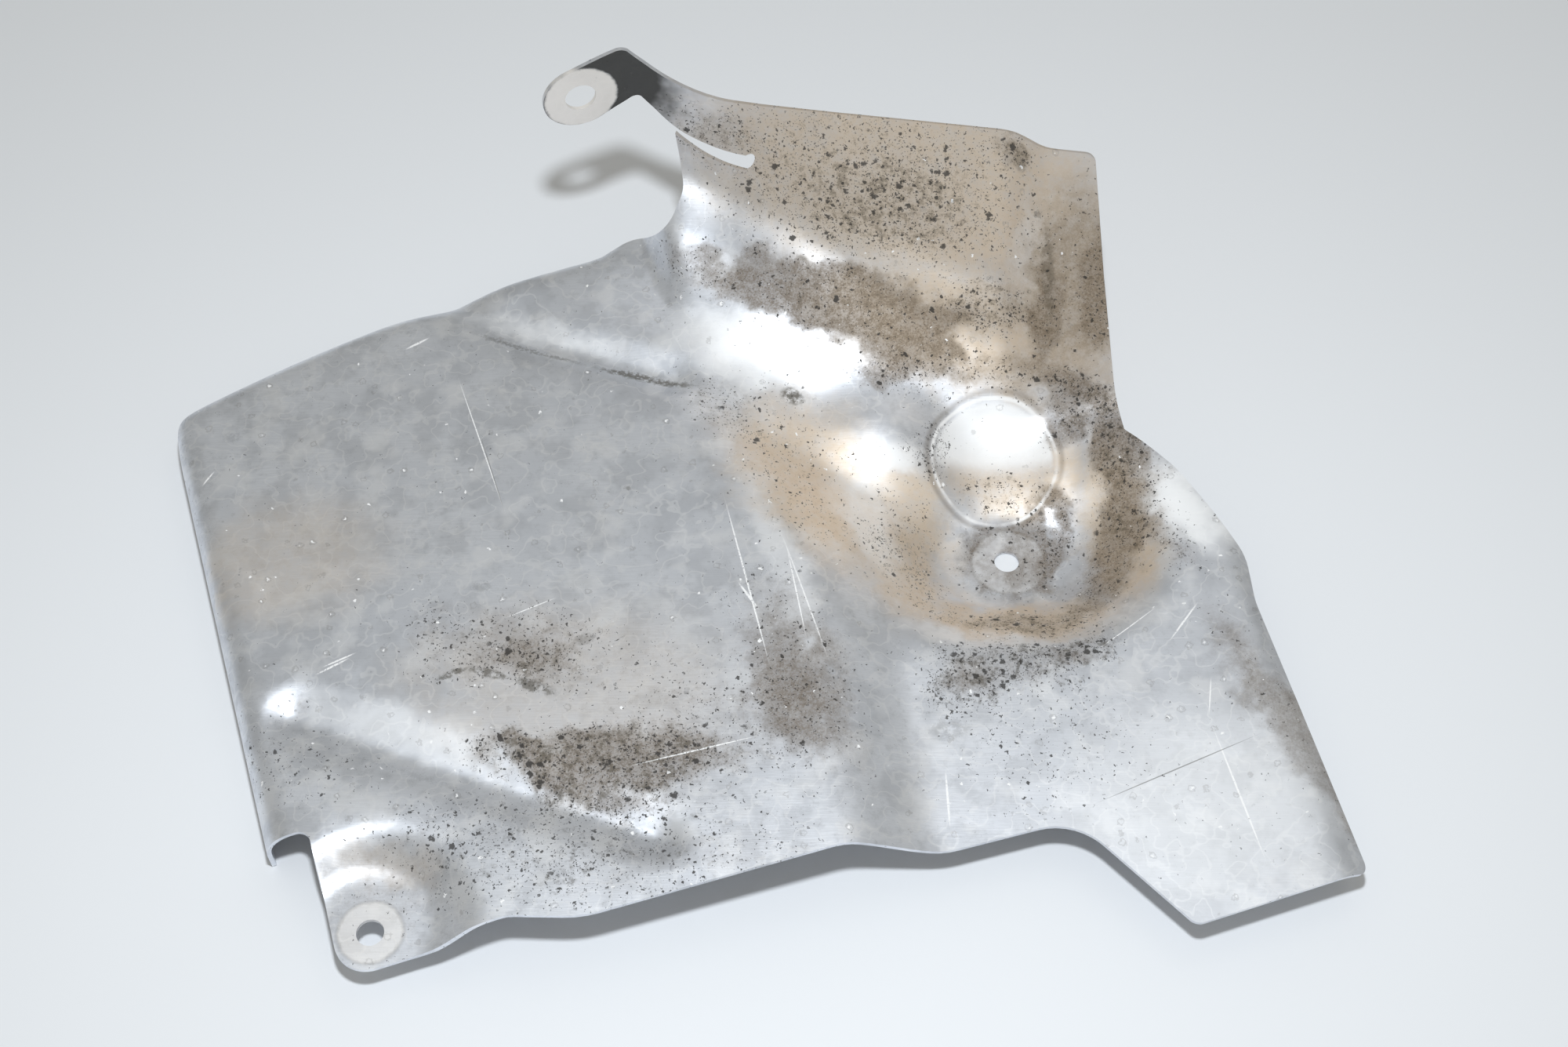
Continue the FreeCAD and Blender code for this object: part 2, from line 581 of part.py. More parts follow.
def strap_low(u):
    narrow = Size.strap_neck * ramp((FOLD_X + Size.strap_length / 2.0 - u) / (Size.strap_length / 2.0))
    return top_of(u) - Size.strap_wide + narrow


def slot_low(u):
    share = (Size.slot_end - u) / (Size.slot_end - Size.strap_start + Size.horn_long)
    wide = Size.slot_wide - (Size.slot_wide - Size.slot_tip) * share ** 3
    return top_of(u) - Size.strap_wide - wide


low_u = FOLD_X + 2.0 * Size.lug_corner
rate = (strap_low(low_u + 0.1) - strap_low(low_u - 0.1)) / 0.2
fold_v = top_of(FOLD_X) - Size.lug_low
fold_low = (low_u + (fold_v - strap_low(low_u)) / rate, fold_v)
upper = tangent_on(fold_top, lug, Size.lug_round, 1.0)
lower = tangent_on(fold_low, lug, Size.lug_round, -1.0)
rounded((top_end, fold_top + (Size.lug_corner,), upper))
lug_tip = (lug[0] - Size.lug_round, lug[1])
pieces.append(flat.ArcOfCircle2d(Point(*upper), Point(*lug_tip), Point(*lower)))
rounded((lower, fold_low + (Size.lug_corner,), (low_u, strap_low(low_u))))

# Slot under the strap, the horn and the bay beside it
slot_u = Size.slot_end - Size.slot_wide / 2.0
upper_side = [low_u + (slot_u - low_u) * i / 8.0 for i in range(9)]
curved([(u, strap_low(u)) for u in upper_side])
slot_mid = (Size.slot_end, (strap_low(slot_u) + slot_low(slot_u)) / 2.0)
slot_ends = [Point(slot_u, strap_low(slot_u)), Point(*slot_mid), Point(slot_u, slot_low(slot_u))]
pieces.append(flat.ArcOfCircle2d(*slot_ends))
horn_u = Size.strap_start - Size.horn_long
lower_side = [slot_u + (horn_u - slot_u) * i / 6.0 for i in range(7)]
curved([(u, slot_low(u)) for u in lower_side])
flange_u = Size.bay_x - Size.flange_long
far_edge = Size.far_round + flange - Size.far_short
far_in = (flange_u, FAR_Y + math.sqrt(far_edge ** 2 - (flange_u - FAR_X) ** 2))
bay = (Size.bay_x, Size.bay_y)
rounded((
    (horn_u, slot_low(horn_u)),
    (Size.neck_x, Size.neck_y, Size.neck_round),
    bay + (Size.bay_round,),
    far_in,
))

# Far flange, the corner and the left flange
inner = Size.left_reach + flange - Size.corner_edge
ring = far_edge - Size.corner_edge
side = inner + LEFT_C * FAR_X + LEFT_S * FAR_Y
rise = math.sqrt(ring ** 2 - side ** 2)
corner = (FAR_X - LEFT_C * side - LEFT_S * rise, FAR_Y - LEFT_S * side + LEFT_C * rise)


def on_arc(centre, radius, ways):
    """Point of an arc, midway between the directions given."""
    x, y = sum(way[0] for way in ways), sum(way[1] for way in ways)
    length = math.hypot(x, y)
    return centre[0] + x / length * radius, centre[1] + y / length * radius


far_way = ((corner[0] - FAR_X) / ring, (corner[1] - FAR_Y) / ring)
in_way = ((far_in[0] - FAR_X) / far_edge, (far_in[1] - FAR_Y) / far_edge)
left_way = (-LEFT_C, -LEFT_S)
far_crown = on_arc((FAR_X, FAR_Y), far_edge, (far_way, in_way))
far_out = on_arc(corner, Size.corner_edge, (far_way,))
crown = on_arc(corner, Size.corner_edge, (far_way, left_way))
left_out = on_arc(corner, Size.corner_edge, (left_way,))
pieces.append(flat.ArcOfCircle2d(Point(*far_in), Point(*far_crown), Point(*far_out)))
pieces.append(flat.ArcOfCircle2d(Point(*far_out), Point(*crown), Point(*left_out)))
straight(left_out, flange_front)


# Skins: cubic surfaces over the blank, held by a net of points

def net_line(low, high):
    """Knots and point positions of one direction of the net."""
    steps = int(math.ceil((high - low) / Size.net_pitch)) + 8
    start = low - 4.0 * Size.net_pitch
    knots = [start + i * Size.net_pitch for i in range(steps + 1)]
    full = [knots[0]] * 3 + knots + [knots[-1]] * 3
    places = [(full[i] + full[i + 1] + full[i + 2]) / 3.0 for i in range(1, len(full) - 3)]
    return knots, places


ends = [piece.value(piece.FirstParameter + (piece.LastParameter - piece.FirstParameter) * i / 4.0)
        for piece in pieces for i in range(5)]
u_knots, u_places = net_line(min(p.x for p in ends), max(p.x for p in ends))
v_knots, v_places = net_line(min(p.y for p in ends), max(p.y for p in ends))
upper_net = [[sheet_point(u, v) for v in v_places] for u in u_places]
lower_net = [[upper_net[i][j] - normal_at(u, v, Size.net_pitch / 2.0) * Size.sheet_thick
              for j, v in enumerate(v_places)] for i, u in enumerate(u_places)]


def skin(net):
    surface = Part.BSplineSurface()
    u_times = [4] + [1] * (len(u_knots) - 2) + [4]
    v_times = [4] + [1] * (len(v_knots) - 2) + [4]
    surface.buildFromPolesMultsKnots(net, u_times, v_times, u_knots, v_knots, False, False, 3, 3)
    return surface


upper_skin, lower_skin = skin(upper_net), skin(lower_net)
upper_edges = [piece.toShape(upper_skin) for piece in pieces]
lower_edges = [piece.toShape(lower_skin) for piece in pieces]
faces = [Part.Face(upper_skin, Part.Wire(upper_edges)), Part.Face(lower_skin, Part.Wire(lower_edges))]
for high, low in zip(upper_edges, lower_edges):
    faces.append(Part.makeRuledSurface(high, low))
shell = Part.Shell(faces)
shell.sewShape()
body = Part.Solid(Part.Shell(shell.Faces))
if body.Volume < 0.0:
    body.reverse()

pressing = doc.addObject("Part::Feature", "Pressing")
pressing.Shape = body
pressing.Placement = FreeCAD.Placement()


# Bolt holes, drilled square to the skin

def drill(name, at, diameter):
    tool = doc.addObject("Part::Cylinder", name)
    tool.setExpression("Radius", "Sizes." + diameter + " / 2")
    tool.setExpression("Height", "Sizes.sheet_thick * 8")
    way = normal_at(at[0], at[1], Size.net_pitch)
    base = sheet_point(at[0], at[1]) - way * (Size.sheet_thick * 4.5)
    tool.Placement = FreeCAD.Placement(base, FreeCAD.Rotation(FreeCAD.Vector(0.0, 0.0, 1.0), way))
    return tool


drills = doc.addObject("Part::MultiFuse", "Drills")
drills.Shapes = [
    drill("DishHole", (0.0, 0.0), "bolt_hole"),
    drill("PadHole", (PAD_X, PAD_Y), "bolt_hole"),
    drill("LugHole", lug, "lug_hole"),
]
shield = doc.addObject("Part::Cut", "HeatShield")
shield.Label = "heat_shield"
shield.Base = pressing
shield.Tool = drills
shield.Placement = FreeCAD.Placement()
doc.recompute()

for item in doc.Objects:
    if "Invalid" in item.State or "Error" in item.State:
        raise RuntimeError(item.Label + " did not build")
if shield.Shape.isNull() or not shield.Shape.isValid() or len(shield.Shape.Solids) != 1:
    raise RuntimeError("the heat shield is not one valid solid")
os.makedirs("parts", exist_ok=True)
shield.Shape.exportStep("parts/heat_shield.step")
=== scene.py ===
"""Pressed aluminium heat shield: its worn finish, a pale floor, soft light and the camera."""

import math
from types import SimpleNamespace

import bpy
import numpy as np
from bpy.props import FloatProperty, FloatVectorProperty, PointerProperty
from bpy.types import Operator, Panel, PropertyGroup
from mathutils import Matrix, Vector

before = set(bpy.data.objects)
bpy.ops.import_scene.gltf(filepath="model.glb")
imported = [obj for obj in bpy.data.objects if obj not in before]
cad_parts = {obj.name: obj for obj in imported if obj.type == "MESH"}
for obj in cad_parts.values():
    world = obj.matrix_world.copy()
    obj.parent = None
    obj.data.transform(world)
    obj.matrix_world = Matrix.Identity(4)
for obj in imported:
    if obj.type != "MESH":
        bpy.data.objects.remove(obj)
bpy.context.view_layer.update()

bl_info = {
    "name": "Heat shield finish",
    "version": (1, 0, 0),
    "blender": (4, 5, 0),
    "location": "3D View > Sidebar > Heat shield",
    "description": "Worn aluminium finish, floor, light and camera for a pressed heat shield",
    "category": "Object",
}

MM = 0.001

# Colours of the finish that a user has no need to change, linear
GREY_CLOUD = (0.52, 0.54, 0.58, 1.0)
GREY_SPECKLE = (0.50, 0.52, 0.55, 1.0)
PALE = (0.97, 0.98, 1.0, 1.0)
# Pale colour of the painted highlights where the sheet catches the lamp, and of one rubbed
# streak on the plate
HIGHLIGHT_AND_RUB = (0.97, 0.975, 0.98, 1.0)
WASHER_PRINT = (0.86, 0.81, 0.75, 1.0)
WASHER_EDGE = (0.30, 0.28, 0.25, 1.0)
DENT_EDGE = (0.35, 0.34, 0.33, 1.0)
# Colour of the dark marks, and of the painted shade lines
DIRT_AND_SHADE = (0.085, 0.075, 0.055, 1.0)
BURNT = (0.030, 0.029, 0.026, 1.0)
WHITE = (1.0, 1.0, 1.0, 1.0)

# Floor, lamps and camera, in metres and degrees
FLOOR_HALF = 4.0
FLOOR_POINTS = 9
FLOOR_HIGH = -0.0003
SOFT_LAMP_AT = (-0.063, -0.180, 0.622)
SOFT_LAMP_TILT = 16
SOFT_LAMP_COLOUR = (0.90, 0.95, 1.0)
BROAD_LAMP_AT = (0.30, 0.40, 1.10)
BROAD_LAMP_AIM = (0.0, -0.05, 0.0)
BROAD_LAMP_WIDE = 0.5
ROOM_COLOUR = (1.0, 0.985, 0.92, 1.0)
CAMERA_AT = (-0.063, -0.3357, 0.5181)
CAMERA_TILT = 34
CAMERA_SENSOR = 36


# Sizes and colours that a user would change

class SheetSettings(PropertyGroup):
    """Colours and wear of the pressed sheet."""
    bare: FloatVectorProperty(
        name="Bare metal", description="Reflected colour of clean aluminium",
        subtype="COLOR", size=4, min=0, max=1, default=(0.85, 0.88, 0.94, 1.0))
    dull: FloatVectorProperty(
        name="Dull metal", description="Reflected colour of the oxidised patches",
        subtype="COLOR", size=4, min=0, max=1, default=(0.69, 0.715, 0.765, 1.0))
    tint: FloatVectorProperty(
        name="Heat tint", description="Tan colour of the metal that has been hot",
        subtype="COLOR", size=4, min=0, max=1, default=(0.80, 0.685, 0.56, 1.0))
    film: FloatVectorProperty(
        name="Brown film", description="Colour of the baked-on dirt",
        subtype="COLOR", size=4, min=0, max=1, default=(0.140, 0.098, 0.056, 1.0))
    soot: FloatVectorProperty(
        name="Soot", description="Colour of the black specks",
        subtype="COLOR", size=4, min=0, max=1, default=(0.020, 0.017, 0.014, 1.0))
    rough: FloatProperty(
        name="Roughness", description="Roughness of the clean metal",
        subtype="FACTOR", min=0.05, max=1, default=0.38)
    waves: FloatProperty(
        name="Waves", description="Height of the slow waves of the thin sheet",
        subtype="DISTANCE", unit="LENGTH", min=0, max=0.002, default=0.00022)
    speck: FloatProperty(
        name="Speck size", description="Largest width of a soot speck",
        subtype="DISTANCE", unit="LENGTH", min=0.0002, max=0.01, default=0.0022)


class StageSettings(PropertyGroup):
    """Floor, light and camera."""
    floor: FloatVectorProperty(
        name="Floor", description="Colour of the floor",
        subtype="COLOR", size=4, min=0, max=1, default=(0.88, 0.90, 0.93, 1.0))
    sky: FloatProperty(
        name="Room light", description="Strength of the even light from all sides",
        min=0, max=5, default=0.35)
    key: FloatProperty(
        name="Key light", description="Power of the soft lamp above the camera",
        subtype="POWER", unit="POWER", min=0, max=500, default=2.75)
    key_wide: FloatProperty(
        name="Key width", description="Width of the soft lamp",
        subtype="DISTANCE", unit="LENGTH", min=0.01, max=2, default=0.05)
    side: FloatProperty(
        name="Side light", description="Power of the broad soft lamp behind the right side",
        subtype="POWER", unit="POWER", min=0, max=500, default=0.30)
    lens: FloatProperty(
        name="Lens", description="Focal length of the camera in mm",
        min=10, max=300, default=50)


# Calls that add shader nodes

class Finish:
    """A material's node tree, with short calls that add a node and give back its output."""

    def __init__(self, name):
        self.material = bpy.data.materials.new(name)
        self.material.use_nodes = True
        self.tree = self.material.node_tree
        self.tree.nodes.clear()
        self.turned_places = {}

    def node(self, kind, **settings):
        """One node of the given kind."""
        made = self.tree.nodes.new(kind)
        for key, value in settings.items():
            setattr(made, key, value)
        return made

    def feed(self, socket, value):
        """A link from another node's output, or a plain value on the socket."""
        if isinstance(value, bpy.types.NodeSocket):
            self.tree.links.new(value, socket)
        else:
            socket.default_value = value

    def maths(self, how, *values):
        """Arithmetic on one, two or three numbers."""
        made = self.node("ShaderNodeMath", operation=how)
        for socket, value in zip(made.inputs, values):
            self.feed(socket, value)
        return made.outputs[0]

    def times(self, first, *others):
        """The product of several numbers."""
        for other in others:
            first = self.maths("MULTIPLY", first, other)
        return first

    def less(self, mask, much, whole=1.0):
        """The whole, less some of a mask."""
        return self.maths("MULTIPLY_ADD", mask, -much, whole)

    def vectors(self, how, *values, out="Vector"):
        """Arithmetic on vectors."""
        made = self.node("ShaderNodeVectorMath", operation=how)
        for socket, value in zip(made.inputs, values):
            self.feed(socket, value)
        return made.outputs[out]

    def scaled(self, vector, by):
        """A vector times a number."""
        made = self.node("ShaderNodeVectorMath", operation="SCALE")
        self.feed(made.inputs[0], vector)
        self.feed(made.inputs["Scale"], by)
        return made.outputs["Vector"]

    def ramp(self, value, low, high, to_low=0.0, to_high=1.0):
        """A smooth step from to_low at low to to_high at high."""
        made = self.node("ShaderNodeMapRange", interpolation_type="SMOOTHSTEP", clamp=True)
        for socket, given in zip(made.inputs, (value, low, high, to_low, to_high)):
            self.feed(socket, given)
        return made.outputs[0]

    def near(self, value, middle, wide, core):
        """1 where a number is within core of the middle, 0 where it is wide of it or more."""
        off = self.maths("ABSOLUTE", self.maths("SUBTRACT", value, middle))
        return self.ramp(off, wide, core)

    def noise(self, place, scale, detail=3.0, rough=0.55, out="Fac"):
        """Cloudy noise, about 0 to 1."""
        made = self.node("ShaderNodeTexNoise", noise_dimensions="3D")
        self.feed(made.inputs["Vector"], place)
        for key, given in (("Scale", scale), ("Detail", detail), ("Roughness", rough)):
            self.feed(made.inputs[key], given)
        return made.outputs[out]

    def wandering(self, place, noise, far):
        """A place moved by a coloured noise, by up to half of far each way."""
        step = self.vectors("SUBTRACT", noise, (0.5, 0.5, 0.5))
        return self.vectors("ADD", place, self.scaled(step, far))

    def cells(self, place, scale):
        """Scattered points: the distance to the nearest, and that point's own random colour."""
        made = self.node("ShaderNodeTexVoronoi", voronoi_dimensions="3D", feature="F1")
        self.feed(made.inputs["Vector"], place)
        self.feed(made.inputs["Scale"], scale)
        return made.outputs["Distance"], made.outputs["Color"]

    def part_of(self, colour, channel):
        """One channel of a colour."""
        made = self.node("ShaderNodeSeparateColor")
        self.feed(made.inputs[0], colour)
        return made.outputs[channel]

    def blend(self, share, first, second):
        """The first colour where share is 0, the second where it is 1."""
        made = self.node("ShaderNodeMix", data_type="RGBA", clamp_factor=True)
        self.feed(made.inputs[0], share)
        self.feed(made.inputs[6], first)
        self.feed(made.inputs[7], second)
        return made.outputs[2]

    def over(self, under, layer, mask, amount=1.0):
        """A colour with another laid over it where the mask is, by at most the amount."""
        return self.blend(mask if amount == 1.0 else self.times(mask, amount), under, layer)

    def mixed(self, share, first, second):
        """The first number where share is 0, the second where it is 1."""
        made = self.node("ShaderNodeMix", data_type="FLOAT", clamp_factor=True)
        self.feed(made.inputs[0], share)
        self.feed(made.inputs[2], first)
        self.feed(made.inputs[3], second)
        return made.outputs[0]

    def turned(self, place, degrees):
        """A place seen from axes turned about z; each turn of a place is made once."""
        if degrees == 0:
            return place
        key = (place.node.name, place.name, degrees)
        if key not in self.turned_places:
            made = self.node("ShaderNodeMapping", vector_type="TEXTURE")
            self.feed(made.inputs["Vector"], place)
            made.inputs["Rotation"].default_value = (0.0, 0.0, math.radians(degrees))
            self.turned_places[key] = made.outputs[0]
        return self.turned_places[key]

    def spot(self, place, at, reach, degrees=0, core=0.0):
        """1 at the middle of an egg of half-widths reach, 0 outside it, turned about z."""
        c, s = math.cos(math.radians(degrees)), math.sin(math.radians(degrees))
        middle = (c * at[0] + s * at[1], c * at[1] - s * at[0], at[2])
        shrink = tuple(1.0 / r for r in reach)
        shift = tuple(-m / r for m, r in zip(middle, reach))
        off = self.vectors("MULTIPLY_ADD", self.turned(place, degrees), shrink, shift)
        return self.ramp(self.vectors("LENGTH", off, out="Value"), 1.0, core)

    def line(self, place, start, end, wide, core=0.5):
        """1 along a long thin egg from start to end, tapering to both ends."""
        a, b = np.array(start, float), np.array(end, float)
        way = b - a
        length = float(np.linalg.norm(way))
        level = math.degrees(math.atan2(way[1], way[0]))
        climb = -math.degrees(math.asin(way[2] / length))
        made = self.node("ShaderNodeMapping", vector_type="TEXTURE")
        self.feed(made.inputs["Vector"], place)
        made.inputs["Location"].default_value = (a + b) / 2
        made.inputs["Rotation"].default_value = (0.0, math.radians(climb), math.radians(level))
        made.inputs["Scale"].default_value = (length / 2, wide, max(wide, 1.5))
        return self.ramp(self.vectors("LENGTH", made.outputs[0], out="Value"), 1.0, core)

    def most(self, masks):
        """The strongest of several masks."""
        result = 0.0
        for mask in masks:
            result = self.maths("MAXIMUM", result, mask)
        return result

    def layers(self, place, spots, core):
        """The strongest of several spots (name, middle, half-widths, turn, amount)."""
        return self.most(self.times(self.spot(place, at, reach, turn, core), amount)
                         for _, at, reach, turn, amount in spots)


# Where the wear, the painted highlights and the painted shade are, in mm in the part's own
# frame, with turns about z in degrees

# The side that the dirt lies on, the lug's front, and its burn
DIRTY_SIDE = (0.0, -0.62, 0.78)
LUG_FACING = (0.14, -0.99, 0.0)
LUG_BURN_MIDDLE = (-113, 108, 77)
LUG_BURN_REACH = (25, 16, 24)

# Direction of the brushing, and its grain for each mm along, across and in depth
BRUSHED_AT = -18
BRUSH_GRAIN = (0.16, 2.2, 1.2)

# Width as a share of the largest speck's, share of the places taken, and power of the soot
SPECK_SIZES = ((1.15, 0.30, 2.0), (0.58, 0.60, 1.2), (0.30, 0.95, 1.0))

# Small dents, counted along a line
DENTS_IN_A_MM = 0.26

# Name, middle, outer radius, amount
WASHER_PRINTS = (
    ("dish bolt", (0.6, -0.4, 1.2), 10.4, 0.30),
    ("pad bolt", (-166.1, -116.7, 11.8), 8.2, 0.55),
    ("lug bolt", (-120.4, 107.9, 75.4), 10.6, 1.0),
)

# Middle and half-widths of the dimple in the dish
DIMPLE_MIDDLE = (-2.5, 30.3, 0.0)
DIMPLE_REACH = (18.0, 18.0, 400.0)

# Name, middle, half-widths, turn, amount
HEAT = (
    ("wing", (-25, 88, 62), (96, 36, 46), -20, 1.0),
    ("wing right", (18, 66, 40), (30, 30, 50), 0, 1.0),
    ("wing foot", (-8, 60, 30), (66, 24, 24), -20, 1.0),
    ("gully", (-54, 16, 17), (30, 44, 12), 30, 0.95),
    ("dish left", (-30, 2, 9), (26, 40, 14), 0, 1.0),
    ("dish front", (2, -24, 8), (44, 15, 12), 0, 1.0),
    ("dish right", (33, 8, 10), (19, 40, 14), 0, 1.0),
    ("dish far", (6, 26, 6), (32, 18, 12), 0, 0.9),
    ("left plate", (-200, -10, 18), (38, 28, 8), 10, 0.40),
    ("patch", (-120, -50, 20), (60, 34, 8), 0, 0.30),
    ("pad", (-165, -100, 14), (24, 9, 8), 0, 0.35),
)

# Painted highlights: pale patches where the curved sheet catches the lamp, and one rubbed
# streak on the plate
# Name, middle, half-widths, turn, amount
BRIGHT = (
    ("wing foot", (-74, 60, 22), (32, 15, 12), -20, 0.9),
    ("knuckle", (-33, 27, 14), (17, 9, 8), 20, 0.9),
    ("dish left", (-38, 6, 11), (17, 28, 9), 20, 0.60),
    ("right rim", (50, 8, 17), (24, 12, 8), -50, 1.0),
    ("right plate", (46, -84, 14), (60, 44, 12), 20, 0.45),
    ("front ridge", (-160, -64, 17), (46, 9, 8), -20, 0.45),
    ("far groove", (-134, 68, 19), (36, 6, 6), -20, 0.5),
    ("rubbed plate", (-64, -10, 22), (8, 44, 8), 20, 0.40),
    ("wing joggle", (6, 74, 52), (5, 14, 26), 0, 0.35),
)

# Some spots paint shade rather than film, as marked above them
# Name, middle, half-widths, turn, film, soot
WEAR_AND_SHADE = (
    ("patch", (-138, -38, 20), (34, 17, 8), 10, 0.75, 0.55),
    ("patch core", (-128, -45, 20), (19, 10, 8), -20, 0.50, 0.70),
    ("patch left", (-158, -30, 19), (11, 10, 8), 0, 0.45, 0.40),
    ("patch right", (-104, -46, 20), (30, 20, 8), 0, 0.40, 0.22),
    ("band", (-108, -71, 20), (40, 13, 8), 0, 1.30, 1.25),
    ("band left", (-136, -70, 18), (18, 7, 8), -10, 0.90, 1.00),
    ("band front", (-108, -80, 19), (36, 11, 8), -10, 1.00, 1.00),
    ("band right", (-76, -64, 21), (34, 24, 8), 10, 0.60, 0.40),
    ("front", (-132, -97, 18), (54, 24, 9), 0, 0.34, 0.62),
    ("front right", (-90, -104, 20), (48, 18, 9), 0, 0.26, 0.34),
    ("front middle", (-70, -96, 21), (32, 18, 8), 0, 0.32, 0.10),
    ("pad", (-164, -108, 12), (26, 24, 8), 0, 0.60, 0.12),
    ("front left", (-190, -72, 15), (30, 16, 9), -20, 0.22, 0.35),
    # Painted shade that dulls a highlight at the ridge's end
    ("ridge end", (-194, -56, 15), (9, 7, 6), -20, 0.70, 0.10),
    ("smudge", (-56, -52, 22), (22, 44, 8), 20, 0.85, 0.25),
    ("middle", (-66, -34, 22), (22, 40, 8), 20, 0.34, 0.12),
    ("dish front", (-4, -42, 15), (32, 12, 8), 0, 0.75, 1.10),
    ("dish front left", (-16, -50, 15), (14, 14, 8), 0, 0.50, 0.95),
    ("dish front right", (18, -37, 15), (13, 8, 8), 20, 0.70, 1.00),
    ("right plate", (8, -66, 15), (34, 26, 8), 10, 0.14, 0.26),
    # Painted shade on the turned-down lip, which faces away from the lamp
    ("lip", (72, -62, 12), (12, 64, 16), 30, 1.15, 0.10),
    ("dish wall front", (4, -25, 9), (34, 12, 9), 0, 0.75, 0.95),
    ("dish wall right", (27, -4, 8), (14, 28, 10), -20, 1.25, 0.60),
    ("right wall", (36, 16, 13), (16, 28, 9), -10, 1.60, 0.80),
    ("right wall far", (33, 30, 15), (13, 14, 8), 0, 1.20, 0.70),
    ("right wall top", (26, 42, 16), (19, 15, 9), -30, 1.10, 0.65),
    ("rim right", (46, -5, 16), (9, 15, 6), 20, 0.70, 0.65),
    # Painted shade on the flat washer seat, with some soot
    ("seat", (3, 0, 2), (25, 19, 6), 0, 1.50, 0.40),
    ("seat right", (14, 2, 2), (6, 14, 5), -10, 0.60, 0.75),
    # Painted shade on the dimple's right side, which faces away from the lamp
    ("dimple right", (14, 16, 4), (11, 10, 6), 0, 1.20, 0.50),
    # Painted shade on the dimple's far right side
    ("dimple far right", (18, 38, 11), (10, 9, 7), 20, 1.00, 0.45),
    ("dish left", (-28, -4, 8), (24, 30, 10), 0, 0.16, 0.60),
    # Painted shade on the near part of the dimple
    ("dimple low", (-2, 23, 4), (16, 10, 5), 0, 0.40, 0.60),
    ("gully", (-58, 18, 18), (24, 42, 9), 30, 0.30, 0.42),
    ("gully top", (-82, 42, 20), (20, 12, 6), -20, 0.50, 0.45),
    ("knuckle right", (-20, 32, 12), (10, 16, 9), 0, 0.55, 0.80),
    ("knuckle far", (-24, 50, 19), (24, 10, 8), -10, 0.50, 0.40),
    ("knuckle top", (-35, 54, 21), (14, 10, 8), 0, 0.80, 0.25),
    # Dark band along the wing's foot: brown film, with painted shade on the steep part
    ("foot", (-46, 70, 30), (62, 15, 14), -20, 2.00, 0.40),
    ("foot right", (-4, 54, 20), (42, 10, 9), -10, 0.70, 0.50),
    ("foot left", (-92, 84, 32), (18, 12, 12), -30, 0.50, 0.35),
    ("wing middle", (-34, 86, 55), (34, 18, 21), -10, 0.40, 0.55),
    ("wing", (-38, 92, 58), (66, 32, 40), -10, 0.22, 0.80),
    ("wing low", (-5, 67, 33), (19, 10, 12), -10, 0.60, 1.05),
    ("wing top", (1, 88, 75), (8, 8, 9), 0, 0.85, 0.80),
    ("wing strap", (-84, 105, 64), (22, 10, 13), -20, 0.60, 0.60),
    # Painted shade down the wing's joggle
    ("wing joggle", (11, 62, 36), (6, 12, 24), 0, 0.85, 0.30),
    ("wing edge", (27, 62, 50), (9, 16, 36), 0, 0.70, 0.50),
    ("wing right", (19, 66, 46), (24, 32, 58), 0, 1.00, 0.15),
    ("tear", (32, 46, 19), (10, 8, 6), 0, 0.90, 0.70),
)

# Dark lines: smears, and painted shade along the far groove, the front ridge and the wing's
# joggle
# Start, end, half-width, amount
SMEARS_AND_SHADE_LINES = (
    ((-155.5, -49.0, 18.8), (-146.0, -44.6, 19.2), 1.3, 0.9),
    ((-147.5, -44.9, 19.2), (-134.0, -49.0, 19.5), 1.7, 0.9),
    ((-136.0, -48.4, 19.5), (-121.0, -54.0, 19.9), 2.2, 0.9),
    # Painted shade in the far groove's crease, this line and the next
    ((-158.0, 69.4, 19.3), (-117.0, 55.4, 19.0), 1.5, 0.75),
    ((-122.0, 57.0, 19.0), (-84.0, 46.0, 20.4), 2.1, 1.0),
    # Painted shade along the front ridge's valley
    ((-190.0, -64.0, 15.6), (-118.0, -90.0, 19.0), 1.4, 0.35),
    # Painted shade down the wing's joggle
    ((10.0, 77.0, 64.0), (13.5, 58.0, 31.0), 2.4, 0.45),
    ((3.0, 85.0, 75.0), (1.5, 83.0, 70.0), 2.6, 0.55),
)

# Name, middle, half-widths, turn, amount
BLOTS = (
    ("blot", (-60.6, 45.7, 18.2), (4.6, 3.2, 3.0), -30, 1.0),
    ("oval stain", (-144.8, -20.0, 19.5), (4.2, 2.5, 3.0), 0, 0.50),
    ("ring stain", (-220.1, 31.6, 17.3), (3.4, 2.8, 3.0), 0, 0.40),
    ("round stain", (-116.0, -37.0, 20.3), (3.4, 2.4, 3.0), 10, 0.45),
    ("drop", (-106.6, 11.3, 21.4), (1.3, 1.3, 2.0), 0, 0.75),
    ("small stain", (-19.9, -61.4, 15.0), (7.0, 4.0, 3.0), 0, 0.45),
)

